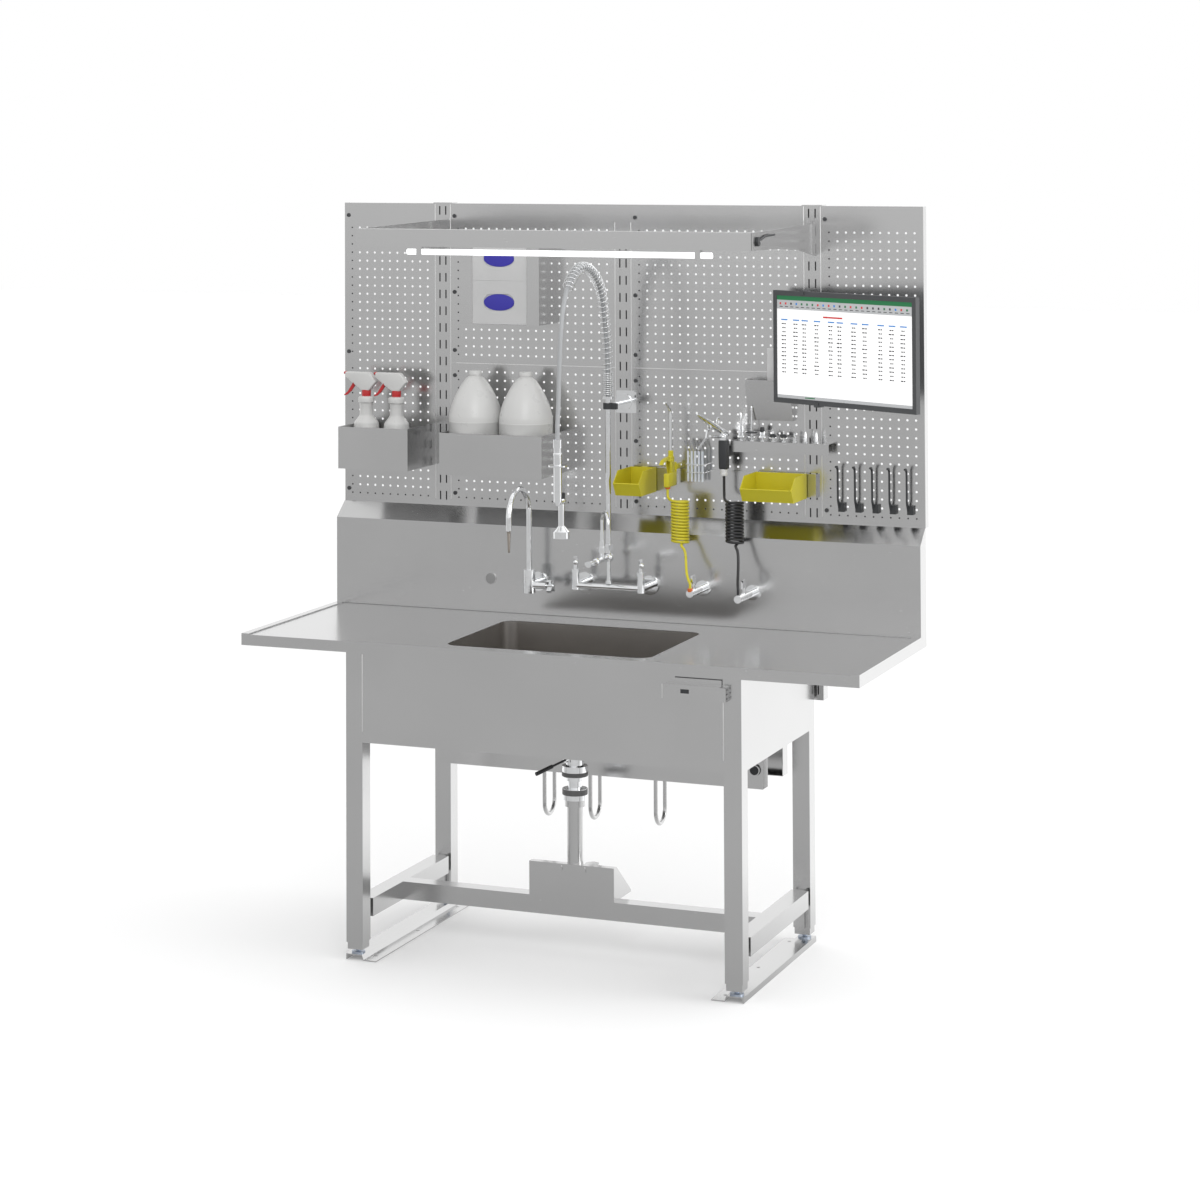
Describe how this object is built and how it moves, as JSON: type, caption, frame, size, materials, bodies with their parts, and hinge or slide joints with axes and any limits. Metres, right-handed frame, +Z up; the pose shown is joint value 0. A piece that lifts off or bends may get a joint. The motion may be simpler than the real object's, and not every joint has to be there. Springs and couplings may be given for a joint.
{
  "type": "laboratory sink unit",
  "caption": "Height-adjustable stainless sink worktop with a perforated back wall that carries taps, spray guns, bins, bottles, racks, a lamp and a screen.",
  "frame": {"origin": "centre of the whole box, at floor level", "axes": "+X to the user's right, +Y to the back wall, +Z up"},
  "size_m": [1.898, 0.7502, 2.1107],
  "materials": {
    "steel": "satin brushed",
    "chrome": "polished",
    "black": "matt black",
    "yellow": "moulded",
    "white": "moulded",
    "red": "moulded",
    "zinc": "blue-grey plated"
  },
  "bodies": {
    "base": {"floor_rails": "steel", "levelling_feet": "zinc", "inner_legs": "steel", "lower_frame": "steel", "drain_box": "steel"},
    "bench": {"leg_sleeves": "steel", "apron_panels": "steel", "worktop": "steel", "sink_bowl": "steel", "drain_fittings": "chrome", "splashback": "steel", "uprights": "steel", "side_panels": "steel", "middle_panels": "steel", "panel_screws": "black", "service_box": "steel", "light_arms": "steel", "monitor_bracket": "black", "glove_holder": "steel", "glove_boxes": "white", "steel_baskets": "steel", "jugs": "white", "spray_bottles": "white", "wedge_pocket": "white", "accessory_rails": "steel", "nozzles": "chrome", "bins": "yellow", "brush_rack": "steel", "tube_hooks": "black", "mixing_faucet": "chrome", "riser": "chrome", "rinse_spring": "chrome", "rinse_hose": "black", "spray_valve": "chrome", "lab_faucet": "chrome", "hose_valves": "chrome", "yellow_gun": "yellow", "yellow_hose": "yellow", "black_gun": "black", "black_hose": "black", "switch_guard": "steel"},
    "light_head": {"light_head": "white"},
    "light_clamp": {"light_clamp": "black"},
    "monitor_head": {"monitor_head": "black"},
    "monitor": {"monitor": "black"},
    "left_trigger": {"left_trigger": "red"},
    "right_trigger": {"right_trigger": "red"},
    "hot_handle": {"hot_handle": "chrome"},
    "cold_handle": {"cold_handle": "chrome"},
    "squeeze_lever": {"squeeze_lever": "black"},
    "addon_spout": {"addon_spout": "chrome"},
    "addon_handle": {"addon_handle": "chrome"},
    "lab_spout": {"lab_spout": "chrome"},
    "lab_handle": {"lab_handle": "chrome"},
    "yellow_valve_handle": {"yellow_valve_handle": "yellow"},
    "black_valve_handle": {"black_valve_handle": "black"},
    "yellow_trigger": {"yellow_trigger": "yellow"},
    "black_trigger": {"black_trigger": "chrome"},
    "drain_lever": {"drain_lever": "black"},
    "lift_switch": {"lift_switch": "black"}
  },
  "joints": [
    {"name": "bench_lift", "type": "slide", "parent": "base", "child": "bench", "axis": [0, 0, 1], "range_m": [0, 0.254]},
    {"name": "lamp_tilt", "type": "hinge", "parent": "bench", "child": "light_head", "pos_m": [-0.03464, -0.23585, 2.025], "axis": [1, 0, 0], "range_deg": [-10, 35]},
    {"name": "lamp_clamp", "type": "hinge", "parent": "bench", "child": "light_clamp", "pos_m": [0.56426, -0.21885, 2.025], "axis": [1, 0, 0], "range_deg": [-45, 45]},
    {"name": "screen_swivel", "type": "hinge", "parent": "bench", "child": "monitor_head", "pos_m": [0.54956, 0.25315, 1.7069], "axis": [0, 0, 1], "range_deg": [-5, 30]},
    {"name": "screen_tilt", "type": "hinge", "parent": "monitor_head", "child": "monitor", "pos_m": [0.59649, 0.21623, 1.7069], "axis": [0.8942, -0.4478, 0], "range_deg": [-12, 6]},
    {"name": "left_trigger_pull", "type": "hinge", "parent": "bench", "child": "left_trigger", "pos_m": [-0.86684, 0.23115, 1.564], "axis": [0, 1, 0], "range_deg": [-15, 0], "stiffness_Nm_per_rad": 0.2},
    {"name": "right_trigger_pull", "type": "hinge", "parent": "bench", "child": "right_trigger", "pos_m": [-0.76664, 0.23115, 1.564], "axis": [0, 1, 0], "range_deg": [-15, 0], "stiffness_Nm_per_rad": 0.2},
    {"name": "hot_turn", "type": "hinge", "parent": "bench", "child": "hot_handle", "pos_m": [-0.13624, 0.19615, 1.06], "axis": [0, 0, 1], "range_deg": [-90, 0]},
    {"name": "cold_turn", "type": "hinge", "parent": "bench", "child": "cold_handle", "pos_m": [0.06696, 0.19615, 1.06], "axis": [0, 0, 1], "range_deg": [0, 90]},
    {"name": "squeeze", "type": "hinge", "parent": "bench", "child": "squeeze_lever", "pos_m": [-0.03264, -0.16385, 1.288], "axis": [1, 0, 0], "range_deg": [0, 12], "stiffness_Nm_per_rad": 0.2},
    {"name": "addon_spout_swivel", "type": "hinge", "parent": "bench", "child": "addon_spout", "pos_m": [-0.03264, 0.14315, 1.138], "axis": [0, 0, 1], "range_deg": [-60, 60]},
    {"name": "addon_turn", "type": "hinge", "parent": "bench", "child": "addon_handle", "pos_m": [-0.03264, 0.04515, 1.084], "axis": [0, 1, 0], "range_deg": [0, 90]},
    {"name": "lab_spout_swivel", "type": "hinge", "parent": "bench", "child": "lab_spout", "pos_m": [-0.28464, 0.20015, 1.034], "axis": [0, 0, 1], "range_deg": [-60, 60]},
    {"name": "lab_turn", "type": "hinge", "parent": "bench", "child": "lab_handle", "pos_m": [-0.21664, 0.20015, 0.99], "axis": [1, 0, 0], "range_deg": [0, 360]},
    {"name": "yellow_valve_turn", "type": "hinge", "parent": "bench", "child": "yellow_valve_handle", "pos_m": [0.23136, 0.18615, 1.02], "axis": [0, 0, 1], "range_deg": [0, 90]},
    {"name": "black_valve_turn", "type": "hinge", "parent": "bench", "child": "black_valve_handle", "pos_m": [0.38336, 0.18615, 1.015], "axis": [0, 0, 1], "range_deg": [0, 90]},
    {"name": "yellow_pull", "type": "hinge", "parent": "bench", "child": "yellow_trigger", "pos_m": [0.13936, 0.24115, 1.367], "axis": [1, 0, 0], "range_deg": [0, 18], "stiffness_Nm_per_rad": 0.2},
    {"name": "black_pull", "type": "hinge", "parent": "bench", "child": "black_trigger", "pos_m": [0.29836, 0.14315, 1.474], "axis": [1, 0, 0], "range_deg": [0, 15], "stiffness_Nm_per_rad": 0.2},
    {"name": "drain_turn", "type": "hinge", "parent": "bench", "child": "drain_lever", "pos_m": [-0.04464, -0.05085, 0.5553], "axis": [-0.491, -0.8369, -0.2419], "range_deg": [0, 90]},
    {"name": "rocker", "type": "hinge", "parent": "bench", "child": "lift_switch", "pos_m": [0.39936, -0.37015, 0.822], "axis": [1, 0, 0], "range_deg": [-8, 8], "stiffness_Nm_per_rad": 0.1}
  ]
}
